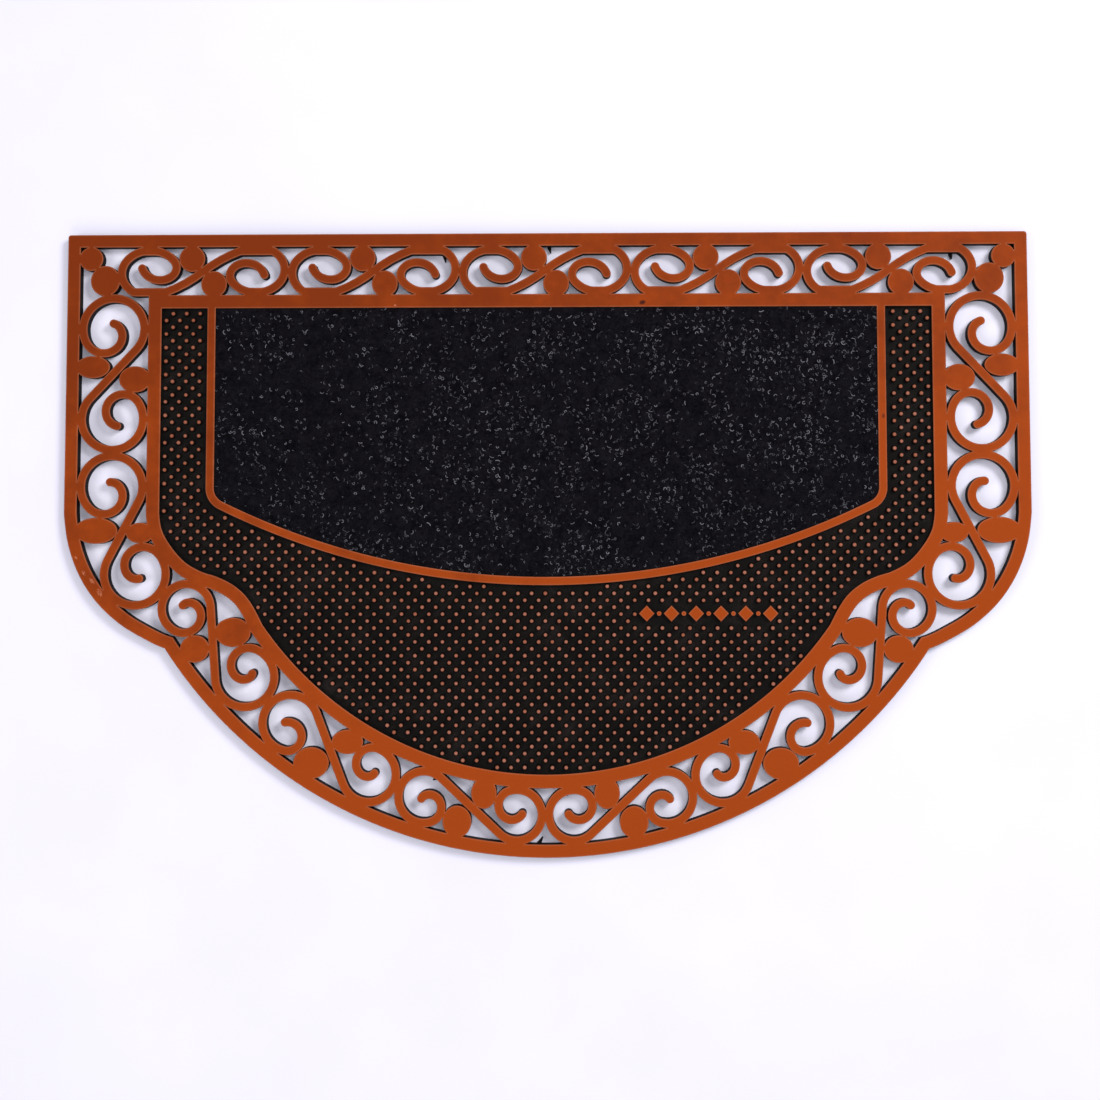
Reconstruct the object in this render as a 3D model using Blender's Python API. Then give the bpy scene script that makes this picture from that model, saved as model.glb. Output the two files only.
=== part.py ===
# Half-round rubber doormat: an openwork border of S-scrolls and discs round a sunk field,
# with a needled carpet panel set in a ribbed recess at the straight edge.
# Plan sizes are in millimetres. x runs along the straight edge from its middle, and y runs
# from the lowest point of the arc up to the straight edge. Angles are in degrees.

import math
from collections import namedtuple

import bpy
import bmesh
from mathutils import Vector
from mathutils.bvhtree import BVHTree
from mathutils.geometry import delaunay_2d_cdt

# Driving dimensions
mat_length = 700.0
mat_depth = 450.0
raised_height = 8.0
field_height = 4.5
recess_height = 3.0
outer_rail_width = 9.3
inner_rail_width = 9.8
stroke_width = 6.2
rib_width = 6.0
carpet_clearance = 0.3
carpet_top = 7.6
millimetre = 0.001

# Fineness of the round stretches, in degrees for each facet
stroke_step = 19.0
arc_step = 5.0
rib_arc_step = 3.0
round_end_step = 45.0
dot_step = 60.0
disc_sides = 14
smooth_angle = 30.0

# Gaps smaller than this, in square millimetres, are closed, and points nearer than this are one
smallest_gap_area = 8.0
merge_distance = 0.02

# Outer outline: one large arc, a shoulder at each side, then straight up to the corners
outer_arc_radius = 329.3
outer_arc_half_width = 275.2
Spot = namedtuple("Spot", "x y")
shoulder_before = Spot(-350.0, 262.0)
shoulder_after = Spot(-262.0, 147.5)
outer_shoulder = (
    Spot(-350.0, 246.0),
    Spot(-346.5, 223.0),
    Spot(-338.5, 201.5),
    Spot(-326.0, 182.5),
    Spot(-309.5, 167.0),
    Spot(-292.5, 156.5),
)

# Inner outline, the edge of the sunk field: an arc, a double bend and a straight side
field_half_width = 280.4
field_top = 395.6
field_arc_radius = 249.0
field_arc_bottom = 58.7
field_arc_half_width = 204.0
field_bend_before = Spot(-280.4, 258.0)
field_bend = (
    Spot(-280.4, 246.0),
    Spot(-278.0, 233.0),
    Spot(-270.5, 220.5),
    Spot(-260.5, 210.0),
    Spot(-249.0, 203.6),
    Spot(-238.5, 200.2),
    Spot(-227.5, 195.0),
    Spot(-218.0, 187.5),
    Spot(-211.0, 178.0),
)

# Rib round the carpet recess, along its middle line
rib_half_width = 243.8
rib_arc_bottom = 196.8
rib_arc_radius = 535.0
rib_corner_radius = 14.0

# A ring's stroke runs round the ring, then turns at "join" into a curl of a smaller radius,
# which tightens to "tip" over the angle "turn".
Ring = namedtuple("Ring", "x y radius join curl tip turn")
Disc = namedtuple("Disc", "x y half_width half_height")

# Scrolls of the left side, from the top corner to the middle of the arc; the right side mirrors them
side_scrolls = (
    (Ring(-315.5, 380.6, 22.5, -158, 16.2, 8.5, 207), Ring(-315.6, 314.5, 22.5, 32, 13.9, 10.3, 216)),
    (Ring(-315.4, 265.2, 22.5, -139, 16.2, 8.3, 204), Ring(-297.6, 201.8, 22.5, 40, 16.0, 7.5, 216)),
    (Ring(-259.9, 177.0, 17.8, -112, 14.3, 5.8, 213), Ring(-216.9, 127.9, 21.4, 70, 14.3, 5.2, 236)),
    (Ring(-183.6, 95.1, 20.1, -102, 10.3, 10.3, 202), Ring(-126.9, 58.6, 19.6, 69, 13.2, 5.5, 220)),
    (Ring(-87.1, 42.7, 18.3, -76, 11.6, 6.5, 198), Ring(-20.5, 30.0, 18.0, 109, 11.3, 8.3, 208)),
)
side_discs = (
    Disc(-332.8, 432.2, 8.8, 8.8),
    Disc(-322.2, 416.0, 10.8, 11.2),
    Disc(-330.5, 352.6, 12.6, 8.2),
    Disc(-299.5, 343.6, 11.6, 9.7),
    Disc(-326.5, 233.3, 15.8, 9.5),
    Disc(-294.2, 231.7, 10.3, 7.5),
    Disc(-253.3, 148.1, 10.7, 9.9),
    Disc(-225.8, 160.0, 13.0, 10.6),
    Disc(-168.4, 66.8, 12.9, 11.3),
    Disc(-142.3, 81.8, 11.4, 8.8),
    Disc(-63.4, 25.4, 10.4, 11.4),
    Disc(-44.1, 45.5, 9.2, 11.0),
)

# The row along the straight edge repeats one stretched scroll, all leaning the same way.
# Its middle line runs level where it would pass "top_flat" above or below the row's middle.
top_scroll_count = 5
top_scroll_pitch = 125.2
top_scroll_y = 422.7
top_stretch = 1.234
top_flat = 15.1
top_stem_bow = 1.1
top_ring = Ring(-31.6, -1.3, 16.9, 32, 8.0, 12.4, 208)
top_disc = Disc(-8.1, 9.4, 9.5, 9.7)

# Row of raised lozenges and dots in the field, right of the middle
accent_left = 73.0
accent_y = 173.5
accent_pitch = 17.8
accent_count = 6
lozenge_half_width = 5.6
lozenge_half_height = 5.8
accent_dot_radius = 1.7


def direction(degrees):
    angle = math.radians(degrees)
    return Vector((math.cos(angle), math.sin(angle)))


def arc_points(centre, radius, start, end, step):
    count = max(2, math.ceil(abs(end - start) / step))
    return [centre + radius * direction(start + (end - start) * i / count) for i in range(count + 1)]


def smooth_through(spots, before, after, steps=3):
    # Catmull-Rom curve through the spots; before and after steer its two ends
    knots = [Vector(before)] + [Vector(spot) for spot in spots] + [Vector(after)]
    points = []
    for i in range(1, len(knots) - 2):
        a, b, c, d = knots[i - 1:i + 3]
        for k in range(steps):
            t = k / steps
            points.append(0.5 * (2 * b + (c - a) * t + (2 * a - 5 * b + 4 * c - d) * t ** 2
                                 + (3 * b - a - 3 * c + d) * t ** 3))
    points.append(Vector(knots[-2]))
    return points


def mirrored(points):
    return [Vector((-point.x, point.y)) for point in reversed(points)]


def shifted(points, distance, closed):
    # Moves a line sideways, to its left, with mitred corners
    count = len(points)
    moved = []
    for i, point in enumerate(points):
        back = points[i - 1] if closed or i > 0 else None
        ahead = points[(i + 1) % count] if closed or i < count - 1 else None
        into = (point - back).normalized() if back is not None else (ahead - point).normalized()
        out = (ahead - point).normalized() if ahead is not None else into
        bisector = (into + out).normalized()
        normal = Vector((-bisector.y, bisector.x))
        moved.append(point + normal * distance / max(0.5, bisector.dot(out)))
    return moved


def outer_outline():
    arc_centre = Vector((0, outer_arc_radius))
    half_angle = math.degrees(math.asin(outer_arc_half_width / outer_arc_radius))
    arc = arc_points(arc_centre, outer_arc_radius, -90 - half_angle, -90, arc_step)
    side = smooth_through(outer_shoulder + (Spot(*arc[0]),), shoulder_before, shoulder_after)
    left = [Vector((-mat_length / 2, mat_depth))] + side + arc[1:]
    return left + mirrored(left[:-1])


def field_outline():
    arc_centre = Vector((0, field_arc_bottom + field_arc_radius))
    half_angle = math.degrees(math.asin(field_arc_half_width / field_arc_radius))
    arc = arc_points(arc_centre, field_arc_radius, -90 - half_angle, -90, arc_step)
    bend = smooth_through(field_bend + (Spot(*arc[0]),), field_bend_before, arc[1])
    left = [Vector((-field_half_width, field_top))] + bend + arc[1:]
    return left + mirrored(left[:-1])


def rib_line():
    # Middle line of the rib: down the side, round the corner and along the arc
    arc_centre = Vector((0, rib_arc_bottom + rib_arc_radius))
    corner_x = rib_half_width - rib_corner_radius
    reach = rib_arc_radius - rib_corner_radius
    corner = Vector((-corner_x, arc_centre.y - math.sqrt(reach ** 2 - corner_x ** 2)))
    meeting = math.degrees(math.atan2(corner.y - arc_centre.y, corner.x))
    turn = arc_points(corner, rib_corner_radius, 180, meeting + 360, stroke_step)
    arc = arc_points(arc_centre, rib_arc_radius, meeting, -90, rib_arc_step)
    left = [Vector((-rib_half_width, field_top + inner_rail_width / 2))] + turn + arc[1:]
    return left + mirrored(left[:-1])


def ring_stroke(centre, ring, sense, leave):
    # From the curl's tip outwards to the angle where the stem leaves; sense is 1 anticlockwise
    curl_centre = centre + (ring.radius - ring.curl) * direction(ring.join)
    count = math.ceil(ring.turn / stroke_step)
    points = []
    for i in range(count):
        left_over = 1 - i / count
        radius = ring.curl - (ring.curl - ring.tip) * left_over ** 2
        points.append(curl_centre + radius * direction(ring.join - sense * ring.turn * left_over))
    sweep = sense * (leave - ring.join) % 360
    return points + arc_points(centre, ring.radius, ring.join, ring.join + sense * sweep, stroke_step)


def scroll_line(start, end, sense, bow=0.0):
    # Two curled rings joined by the straight or slightly bowed stem that touches both
    a = Vector((start.x, start.y))
    b = Vector((end.x, end.y))
    span = b - a
    lean = math.degrees(math.acos((start.radius + end.radius) / span.length))
    leave = math.degrees(math.atan2(span.y, span.x)) - sense * lean
    first = ring_stroke(a, start, sense, leave)
    second = ring_stroke(b, end, sense, leave + 180)
    stem = second[-1] - first[-1]
    across = Vector((-stem.y, stem.x)).normalized()
    middle = [first[-1] + stem * t + across * bow * math.sin(2 * math.pi * t) for t in (0.25, 0.5, 0.75)]
    return first + middle + list(reversed(second))


def stroke_outline(line, width):
    # Closed outline of a stroke of even width with round ends
    half = width / 2
    ends = []
    for tip, inner in ((line[-1], line[-2]), (line[0], line[1])):
        ahead = tip - inner
        heading = math.degrees(math.atan2(ahead.y, ahead.x))
        ends.append(arc_points(tip, half, heading - 90, heading + 90, round_end_step))
    right_side = shifted(line, -half, False)
    left_side = shifted(line, half, False)
    return right_side[:-1] + ends[0] + list(reversed(left_side))[1:-1] + ends[1][:-1]


def disc_outline(disc):
    outline = []
    for i in range(disc_sides):
        spoke = direction(360 * (i + 0.5) / disc_sides)
        outline.append(Vector((disc.x + disc.half_width * spoke.x, disc.y + disc.half_height * spoke.y)))
    return outline


def border_shapes():
    shapes = []
    for start, end in side_scrolls:
        outline = stroke_outline(scroll_line(start, end, -1), stroke_width)
        shapes += [outline, mirrored(outline)]
    for disc in side_discs:
        outline = disc_outline(disc)
        shapes += [outline, mirrored(outline)]
    opposite = top_ring._replace(x=-top_ring.x, y=-top_ring.y, join=top_ring.join + 180)
    line = scroll_line(top_ring, opposite, 1, -top_stem_bow)
    for i in range(top_scroll_count):
        middle = Vector(((i - (top_scroll_count - 1) / 2) * top_scroll_pitch, top_scroll_y))
        placed = []
        for point in line:
            level = max(-top_flat, min(top_flat, point.y))
            placed.append(middle + Vector((point.x * top_stretch, level)))
        shapes.append(stroke_outline(placed, stroke_width))
        for side in (1, -1):
            shapes.append(disc_outline(top_disc._replace(x=middle.x + side * top_disc.x,
                                                         y=middle.y + side * top_disc.y)))
    return shapes


def accent_shapes():
    shapes = []
    for i in range(accent_count):
        x = accent_left + i * accent_pitch
        corners = [direction(turn) for turn in (0, 90, 180, 270)]
        shapes.append([Vector((x + lozenge_half_width * corner.x, accent_y + lozenge_half_height * corner.y))
                       for corner in corners])
        if i < accent_count - 1:
            dot = Vector((x + accent_pitch / 2, accent_y))
            shapes.append(arc_points(dot, accent_dot_radius, 0, 360, dot_step)[:-1])
    return shapes


def split_plan(loops):
    # Cuts the plan along every outline; each triangle keeps the set of loops that cover it
    points = []
    faces = []
    for loop in loops:
        faces.append(list(range(len(points), len(points) + len(loop))))
        points += loop
    result = delaunay_2d_cdt(points, [], faces, 1, merge_distance)
    return result[0], result[2], result[5]


def neighbour_heights(triangles, heights):
    beside = {}
    for triangle, height in zip(triangles, heights):
        for i in range(3):
            beside[(triangle[i], triangle[(i + 1) % 3])] = height
    return beside


def fill_small_gaps(points, triangles, heights):
    # Gaps too narrow to mould are closed at the raised height
    owner = {}
    for index, triangle in enumerate(triangles):
        for i in range(3):
            owner[(triangle[i], triangle[(i + 1) % 3])] = index
    seen = set()
    for first, height in enumerate(heights):
        if height > 0 or first in seen:
            continue
        seen.add(first)
        gap = [first]
        area = 0.0
        for index in gap:
            triangle = triangles[index]
            a, b, c = (points[i] for i in triangle)
            area += (b - a).cross(c - a) / 2
            for i in range(3):
                other = owner.get((triangle[(i + 1) % 3], triangle[i]))
                if other is not None and heights[other] == 0 and other not in seen:
                    seen.add(other)
                    gap.append(other)
        if area < smallest_gap_area:
            for index in gap:
                heights[index] = raised_height


def plan_heights():
    # The whole plan as triangles, each with its height; 0 is open air
    outer = outer_outline()
    field = field_outline()
    rib = rib_line()
    loops = [outer, shifted(outer, outer_rail_width, True), shifted(field, -inner_rail_width, True), field]
    loops.append(close_at_rail(shifted(rib, -rib_width / 2, False)))
    loops.append(close_at_rail(shifted(rib, rib_width / 2, False)))
    marked = len(loops)
    border = border_shapes()
    loops += border + accent_shapes()
    accent_start = marked + len(border)
    points, triangles, covers = split_plan(loops)
    heights = []
    for cover in covers:
        in_border = any(marked <= loop < accent_start for loop in cover)
        in_accent = any(loop >= accent_start for loop in cover)
        if 0 not in cover:
            heights.append(0.0)
        elif 1 not in cover:
            heights.append(raised_height)
        elif 2 not in cover:
            heights.append(raised_height if in_border else 0.0)
        elif 3 not in cover:
            heights.append(raised_height)
        elif 5 in cover:
            heights.append(recess_height)
        elif 4 in cover or in_accent:
            heights.append(raised_height)
        else:
            heights.append(field_height)
    fill_small_gaps(points, triangles, heights)
    return points, triangles, heights


def close_at_rail(line):
    # Ends an outline on the edge of the top rail
    return [Vector((line[0].x, field_top))] + line[1:-1] + [Vector((line[-1].x, field_top))]


def only_steps(points, triangles, heights):
    # Keeps the edges where the height changes and cuts the plan again along those alone
    beside = neighbour_heights(triangles, heights)
    edges = []
    used = {}
    for (a, b), height in beside.items():
        if a < b or (b, a) not in beside:
            if beside.get((b, a), 0.0) != height:
                edges.append((used.setdefault(a, len(used)), used.setdefault(b, len(used))))
    corners = [points[index] for index in used]
    flat = BVHTree.FromPolygons([Vector((p.x, p.y, 0)) for p in points], triangles)
    result = delaunay_2d_cdt(corners, edges, [], 1, merge_distance)
    new_points = result[0]
    new_triangles = []
    new_heights = []
    for triangle in result[2]:
        a, b, c = (new_points[i] for i in triangle)
        middle = (a + b + c) / 3
        hit = flat.ray_cast(Vector((middle.x, middle.y, 1)), Vector((0, 0, -1)))[2]
        if hit is not None and heights[hit] > 0:
            new_triangles.append(triangle)
            new_heights.append(heights[hit])
    return new_points, new_triangles, new_heights


def terraced_mesh(name, points, triangles, heights):
    # Flat underside, one flat top for each height and an upright wall wherever the height changes
    mesh = bmesh.new()
    corners = {}

    def corner(index, height):
        key = (index, height)
        if key not in corners:
            point = points[index]
            place = Vector((point.x, point.y - mat_depth / 2, height)) * millimetre
            corners[key] = mesh.verts.new(place)
        return corners[key]

    beside = neighbour_heights(triangles, heights)
    for triangle, height in zip(triangles, heights):
        mesh.faces.new([corner(i, height) for i in triangle])
        mesh.faces.new([corner(i, 0.0) for i in reversed(triangle)])
    for (a, b), height in beside.items():
        other = beside.get((b, a), 0.0)
        if height > other:
            mesh.faces.new([corner(a, other), corner(b, other), corner(b, height), corner(a, height)])
    return finished_mesh(name, mesh)


def slab_mesh(name, outline, bottom, top):
    mesh = bmesh.new()
    place = [Vector((p.x, p.y - mat_depth / 2, bottom)) * millimetre for p in outline]
    face = mesh.faces.new([mesh.verts.new(p) for p in place])
    raised = bmesh.ops.extrude_face_region(mesh, geom=[face])
    lifted = [item for item in raised["geom"] if isinstance(item, bmesh.types.BMVert)]
    bmesh.ops.translate(mesh, verts=lifted, vec=Vector((0, 0, top - bottom)) * millimetre)
    bmesh.ops.recalc_face_normals(mesh, faces=mesh.faces)
    return finished_mesh(name, mesh)


def finished_mesh(name, mesh):
    data = bpy.data.meshes.new(name)
    mesh.to_mesh(data)
    mesh.free()
    data.shade_smooth()
    data.set_sharp_from_angle(angle=math.radians(smooth_angle))
    return data


def add_object(name, data, material):
    data.materials.append(material)
    item = bpy.data.objects.new(name, data)
    bpy.context.scene.collection.objects.link(item)
    return item


def plain_material(name, colour, roughness):
    material = bpy.data.materials.new(name)
    material.use_nodes = True
    shader = material.node_tree.nodes["Principled BSDF"]
    shader.inputs["Base Color"].default_value = (*colour, 1.0)
    shader.inputs["Roughness"].default_value = roughness
    shader.inputs["Metallic"].default_value = 0.0
    return material


def rubber_mat():
    plan = only_steps(*plan_heights())
    data = terraced_mesh("rubber_mat", *plan)
    return add_object("rubber_mat", data, plain_material("painted rubber", (0.36, 0.055, 0.008), 0.6))


def carpet_insert():
    recess = close_at_rail(shifted(rib_line(), rib_width / 2, False))
    outline = shifted(recess, carpet_clearance, True)
    data = slab_mesh("carpet_insert", outline, recess_height + carpet_clearance, carpet_top)
    return add_object("carpet_insert", data, plain_material("needled carpet", (0.012, 0.012, 0.014), 0.95))


def main():
    for item in list(bpy.data.objects):
        bpy.data.objects.remove(item, do_unlink=True)
    rubber_mat()
    carpet_insert()


main()
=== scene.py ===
import math
from collections import namedtuple

import bpy
import bmesh
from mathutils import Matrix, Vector, noise
from mathutils.bvhtree import BVHTree
from mathutils.geometry import delaunay_2d_cdt


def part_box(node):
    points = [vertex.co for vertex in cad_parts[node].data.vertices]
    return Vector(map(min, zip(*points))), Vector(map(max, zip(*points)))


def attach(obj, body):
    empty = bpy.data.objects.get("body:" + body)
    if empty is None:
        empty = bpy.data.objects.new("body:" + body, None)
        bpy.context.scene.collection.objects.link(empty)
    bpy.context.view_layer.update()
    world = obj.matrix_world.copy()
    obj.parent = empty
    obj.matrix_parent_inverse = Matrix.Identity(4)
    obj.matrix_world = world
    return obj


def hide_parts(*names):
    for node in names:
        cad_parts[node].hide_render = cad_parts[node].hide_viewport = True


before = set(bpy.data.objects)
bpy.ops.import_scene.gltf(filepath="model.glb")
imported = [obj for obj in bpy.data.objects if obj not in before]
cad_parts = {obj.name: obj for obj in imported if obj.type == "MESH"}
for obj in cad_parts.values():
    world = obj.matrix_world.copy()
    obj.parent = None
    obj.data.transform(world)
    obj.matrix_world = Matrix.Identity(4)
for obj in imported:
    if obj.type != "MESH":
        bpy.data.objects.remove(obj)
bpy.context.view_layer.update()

# Half-round rubber doormat. Sizes are in millimetres until a mesh is made.
# The plan's x runs along the straight edge from its middle, its y from the lowest point of the
# arc up to the straight edge. Angles are in degrees.

mm = 0.001
fullTurn = 6.283  # in radians, for the random turns
matLow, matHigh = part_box("rubber_mat")
matLength = (matHigh.x - matLow.x) / mm
matDepth = (matHigh.y - matLow.y) / mm
matHeight = (matHigh.z - matLow.z) / mm

Spot = namedtuple("Spot", "x y")
Ring = namedtuple("Ring", "x y radius join curl tip turn")
Disc = namedtuple("Disc", "x y halfWidth halfHeight")
Pip = namedtuple("Pip", "x y turn reach")
Mark = namedtuple("Mark", "x y halfWidth halfHeight turn strength")
Curl = namedtuple("Curl", "turns start end rise pieces")
Light = namedtuple("Light", "name turn reach height size power")


# Small helpers for node trees

class Socket:
    # An output socket on which Python's operators make Math nodes

    def __init__(self, graph, source):
        self.graph = graph
        self.source = source

    def math(self, operation, *others):
        values = dict(enumerate((self,) + others))
        return self.graph.node("ShaderNodeMath", {"operation": operation}, values)

    def turned(self, operation, other):
        return self.graph.node("ShaderNodeMath", {"operation": operation}, {0: other, 1: self})

    def __add__(self, other):
        return self.math("ADD", other)

    def __radd__(self, other):
        return self.turned("ADD", other)

    def __sub__(self, other):
        return self.math("SUBTRACT", other)

    def __rsub__(self, other):
        return self.turned("SUBTRACT", other)

    def __mul__(self, other):
        return self.math("MULTIPLY", other)

    def __rmul__(self, other):
        return self.turned("MULTIPLY", other)

    def __truediv__(self, other):
        return self.math("DIVIDE", other)

    def __pow__(self, other):
        return self.math("POWER", other)

    def __gt__(self, other):
        return self.math("GREATER_THAN", other)

    def other(self, name):
        return Socket(self.graph, self.source.node.outputs[name])


class Graph:
    # Builds nodes in one tree

    def __init__(self, tree):
        self.tree = tree

    def node(self, kind, settings=None, values=None, out=0):
        made = self.tree.nodes.new(kind)
        for name, value in (settings or {}).items():
            setattr(made, name, value)
        for key, value in (values or {}).items():
            for part in value if isinstance(value, list) else [value]:
                if isinstance(part, Socket):
                    self.tree.links.new(part.source, made.inputs[key])
                else:
                    made.inputs[key].default_value = part
        return Socket(self, made.outputs[out])

    def mixColour(self, factor, first, second):
        settings = {"data_type": "RGBA", "blend_type": "MIX", "clamp_factor": True}
        return self.node("ShaderNodeMix", settings, {0: factor, 6: first, 7: second}, 2)

    def noise(self, place, scale, detail=2.0, roughness=0.5, distortion=0.0):
        values = {"Vector": place, "Scale": scale, "Detail": detail,
                  "Roughness": roughness, "Distortion": distortion}
        return self.node("ShaderNodeTexNoise", None, values, "Fac")

    def smooth(self, value, low, high):
        settings = {"interpolation_type": "SMOOTHSTEP"}
        return self.node("ShaderNodeMapRange", settings, {0: value, 1: low, 2: high, 3: 0.0, 4: 1.0})

    def attribute(self, name):
        return self.node("ShaderNodeAttribute", {"attribute_name": name}, None, "Fac")

    def vector(self, x, y, z):
        return self.node("ShaderNodeCombineXYZ", None, {0: x, 1: y, 2: z})


# Plan drawing

def heading(degrees):
    angle = math.radians(degrees)
    return Vector((math.cos(angle), math.sin(angle)))


def arcPoints(centre, radius, start, end, step):
    count = max(2, math.ceil(abs(end - start) / step))
    return [centre + radius * heading(start + (end - start) * i / count) for i in range(count + 1)]


def smoothThrough(spots, before, after, steps):
    # Catmull-Rom curve through the spots; before and after steer its two ends
    knots = [Vector(before)] + [Vector(spot) for spot in spots] + [Vector(after)]
    points = []
    for i in range(1, len(knots) - 2):
        a, b, c, d = knots[i - 1:i + 3]
        for k in range(steps):
            t = k / steps
            points.append(0.5 * (2 * b + (c - a) * t + (2 * a - 5 * b + 4 * c - d) * t ** 2
                                 + (3 * b - a - 3 * c + d) * t ** 3))
    points.append(Vector(knots[-2]))
    return points


def mirrored(points):
    return [Vector((-point.x, point.y)) for point in reversed(points)]


def shifted(points, distance, closed):
    # Moves a line sideways, to its left, with mitred corners
    count = len(points)
    moved = []
    for i, point in enumerate(points):
        back = points[i - 1] if closed or i > 0 else None
        ahead = points[(i + 1) % count] if closed or i < count - 1 else None
        into = (point - back).normalized() if back is not None else (ahead - point).normalized()
        out = (ahead - point).normalized() if ahead is not None else into
        bisector = (into + out).normalized()
        normal = Vector((-bisector.y, bisector.x))
        moved.append(point + normal * distance / max(0.5, bisector.dot(out)))
    return moved


def splitPlan(loops):
    # Cuts the plan along every loop; each triangle keeps the set of loops that cover it
    points = []
    faces = []
    for loop in loops:
        faces.append(list(range(len(points), len(points) + len(loop))))
        points += loop
    result = delaunay_2d_cdt(points, [], faces, 1, fineness["mergeDistance"])
    return result[0], result[2], result[5]


def inSpace(x, y, z):
    # From the plan, in millimetres, to the frame, in metres
    return Vector((x * mm, matLow.y + y * mm, matLow.z + z * mm))


def finishedMesh(name, mesh, sharpAngle):
    data = bpy.data.meshes.new(name)
    mesh.to_mesh(data)
    mesh.free()
    data.shade_smooth()
    data.set_sharp_from_angle(angle=math.radians(sharpAngle))
    return data


def addObject(name, data, material):
    if material is not None:
        data.materials.append(material)
    item = bpy.data.objects.new(name, data)
    bpy.context.scene.collection.objects.link(item)
    return item


# The moulded rubber

fineness = {
    "ringStep": 6.0,
    "arcStep": 1.5,
    "ribStep": 1.0,
    "bendSteps": 8,
    "stemPieces": 8,
    "roundEndStep": 15.0,
    "discSides": 36,
    "dotStep": 22.5,
    "tipStep": 30.0,
    "mergeDistance": 0.01,
    "smallestGap": 8.0,
    "sharpAngle": 20.0,
}

rubber = {
    "fieldHeight": 4.5,
    "recessHeight": 3.0,
    "outerRail": 9.3,
    "innerRail": 9.8,
    "stroke": 6.2,
    "rib": 6.0,
    "edgeRound": 0.6,
    "edgeLines": (0.17, 0.6, 1.15),
    # Width of the painted highlight along the rims
    "highlightWidth": 1.15,
    "cornerRadius": 2.0,
    "flashHeight": 2.6,
    "flashWidth": 3.8,
    "flashTaper": 0.2,
}

# Outer outline: one large arc, a shoulder at each side, then straight up to the corners
outer = {
    "arcRadius": 329.3,
    "arcHalfWidth": 275.2,
    "before": Spot(-350.0, 262.0),
    "after": Spot(-262.0, 147.5),
    "shoulder": (Spot(-350.0, 246.0), Spot(-346.5, 223.0), Spot(-338.5, 201.5),
                 Spot(-326.0, 182.5), Spot(-309.5, 167.0), Spot(-292.5, 156.5)),
}

# Edge of the sunk field: an arc, a double bend and a straight side
field = {
    "halfWidth": 280.4,
    "top": 395.6,
    "arcRadius": 249.0,
    "arcBottom": 58.7,
    "arcHalfWidth": 204.0,
    "before": Spot(-280.4, 258.0),
    "bend": (Spot(-280.4, 246.0), Spot(-278.0, 233.0), Spot(-270.5, 220.5),
             Spot(-260.5, 210.0), Spot(-249.0, 203.6), Spot(-238.5, 200.2),
             Spot(-227.5, 195.0), Spot(-218.0, 187.5), Spot(-211.0, 178.0)),
}

# Rib round the carpet, along its middle line
rib = {"halfWidth": 243.8, "arcBottom": 196.8, "arcRadius": 535.0, "cornerRadius": 14.0}

# A ring's stroke runs round the ring, then turns at "join" into a curl of a smaller radius,
# which tightens to "tip" over the angle "turn". The left side's scrolls run from the top
# corner to the middle of the arc, and the right side mirrors them.
sideScrolls = (
    (Ring(-315.5, 380.6, 22.5, -158, 16.2, 8.5, 207), Ring(-315.6, 314.5, 22.5, 32, 13.9, 10.3, 216)),
    (Ring(-315.4, 265.2, 22.5, -139, 16.2, 8.3, 204), Ring(-297.6, 201.8, 22.5, 40, 16.0, 7.5, 216)),
    (Ring(-259.9, 177.0, 17.8, -112, 14.3, 5.8, 213), Ring(-216.9, 127.9, 21.4, 70, 14.3, 5.2, 236)),
    (Ring(-183.6, 95.1, 20.1, -102, 10.3, 10.3, 202), Ring(-126.9, 58.6, 19.6, 69, 13.2, 5.5, 220)),
    (Ring(-87.1, 42.7, 18.3, -76, 11.6, 6.5, 198), Ring(-20.5, 30.0, 18.0, 109, 11.3, 8.3, 208)),
)
sideDiscs = (
    Disc(-332.8, 432.2, 8.8, 8.8),
    Disc(-322.2, 416.0, 10.8, 11.2),
    Disc(-330.5, 352.6, 12.6, 8.2),
    Disc(-299.5, 343.6, 11.6, 9.7),
    Disc(-326.5, 233.3, 15.8, 9.5),
    Disc(-294.2, 231.7, 10.3, 7.5),
    Disc(-253.3, 148.1, 10.7, 9.9),
    Disc(-225.8, 160.0, 13.0, 10.6),
    Disc(-168.4, 66.8, 12.9, 11.3),
    Disc(-142.3, 81.8, 11.4, 8.8),
    Disc(-63.4, 25.4, 10.4, 11.4),
    Disc(-44.1, 45.5, 9.2, 11.0),
)

# The row along the straight edge repeats one stretched scroll, whose middle line runs level
# where it would pass "flat" above or below the row's middle
topRow = {
    "count": 5,
    "pitch": 125.2,
    "y": 422.7,
    "stretch": 1.234,
    "flat": 15.1,
    "bow": 1.1,
    "ring": Ring(-31.6, -1.3, 16.9, 32, 8.0, 12.4, 208),
    "disc": Disc(-8.1, 9.4, 9.5, 9.7),
}

# Tags of moulding flash left low on the walls of six openings, each with its wall and direction
pips = (
    Pip(3.0, 440.7, -75, 4.6),
    Pip(-74.0, 434.8, -80, 5.2),
    Pip(296.0, 434.6, -80, 4.0),
    Pip(-78.0, 55.5, 205, 3.4),
    Pip(-4.5, 9.3, 60, 5.0),
    Pip(15.0, 45.0, -70, 2.2),
)

# Row of raised lozenges and dots in the field, right of the middle
accent = {"left": 73.0, "y": 173.5, "pitch": 17.8, "count": 6,
          "halfWidth": 5.6, "halfHeight": 5.8, "dot": 1.7}


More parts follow.
